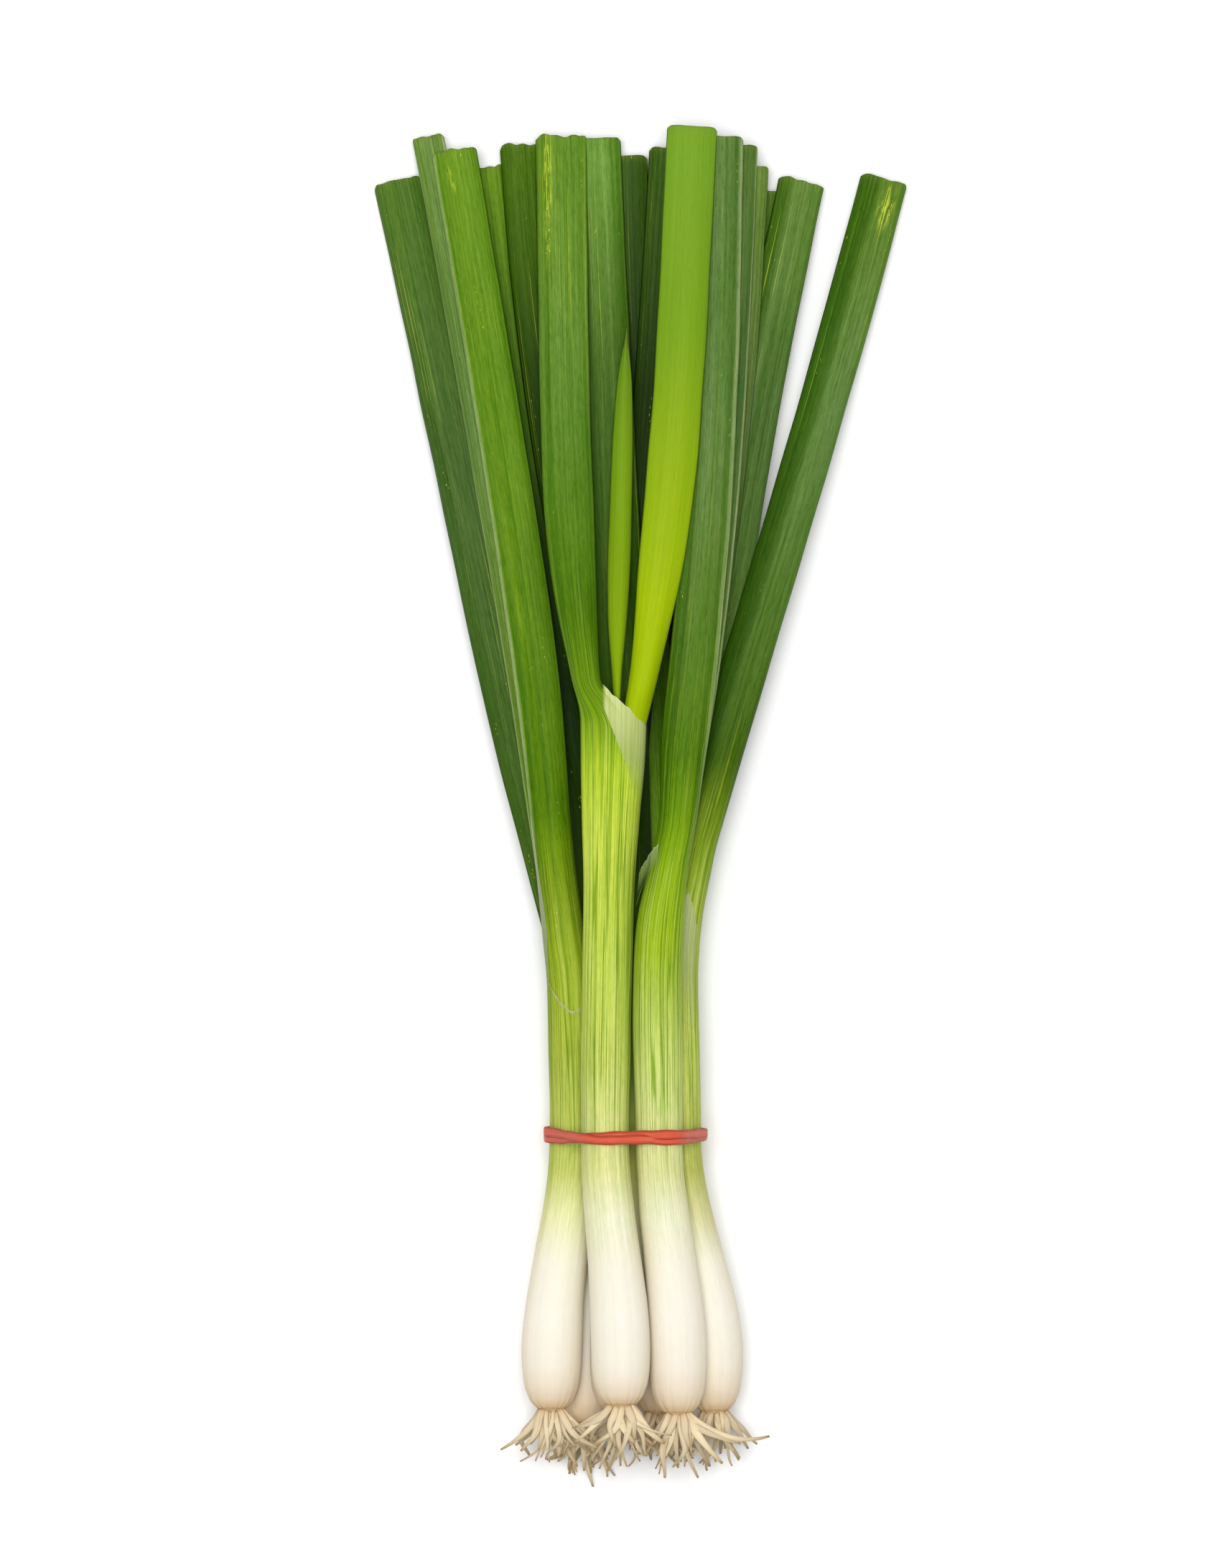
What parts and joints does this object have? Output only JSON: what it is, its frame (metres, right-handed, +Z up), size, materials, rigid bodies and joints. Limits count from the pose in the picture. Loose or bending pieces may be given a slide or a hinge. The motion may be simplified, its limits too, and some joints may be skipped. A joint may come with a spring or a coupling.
{
  "type": "bunch of spring onions",
  "caption": "Bunch of spring onions with white bulbs, rootlets and long green leaves, tied with a rubber band and lying flat.",
  "frame": {"origin": "middle of the bunch's outline, on the surface it lies on", "axes": "+Y along the bunch from the roots to the leaf tips, +X across the fan of leaves, +Z up from the surface"},
  "size_m": [0.1428, 0.3624, 0.0439],
  "materials": {
    "stem": "satin",
    "leaf": "satin",
    "bright_leaf": "satin",
    "roots": "matte",
    "rubber": "satin"
  },
  "bodies": {
    "root": {"rubber_band": "rubber", "onion_1_stem": "stem", "onion_1_roots": "roots", "onion_1_leaf_1": "leaf", "onion_1_leaf_2": "leaf", "onion_1_leaf_3": "leaf", "onion_2_stem": "stem", "onion_2_roots": "roots", "onion_2_leaf_1": "leaf", "onion_2_leaf_2": "bright_leaf", "onion_2_leaf_3": "bright_leaf", "onion_3_stem": "stem", "onion_3_roots": "roots", "onion_3_leaf_1": "leaf", "onion_3_leaf_2": "leaf", "onion_3_leaf_3": "leaf", "onion_4_stem": "stem", "onion_4_roots": "roots", "onion_4_leaf_1": "leaf", "onion_4_leaf_2": "leaf", "onion_4_leaf_3": "leaf", "onion_5_stem": "stem", "onion_5_roots": "roots", "onion_5_leaf_1": "leaf", "onion_5_leaf_2": "leaf", "onion_5_leaf_3": "leaf", "onion_6_stem": "stem", "onion_6_roots": "roots", "onion_6_leaf_1": "leaf", "onion_6_leaf_2": "leaf", "onion_6_leaf_3": "leaf", "onion_7_stem": "stem", "onion_7_roots": "roots", "onion_7_leaf_1": "leaf", "onion_7_leaf_2": "leaf", "onion_7_leaf_3": "leaf"}
  },
  "joints": []
}
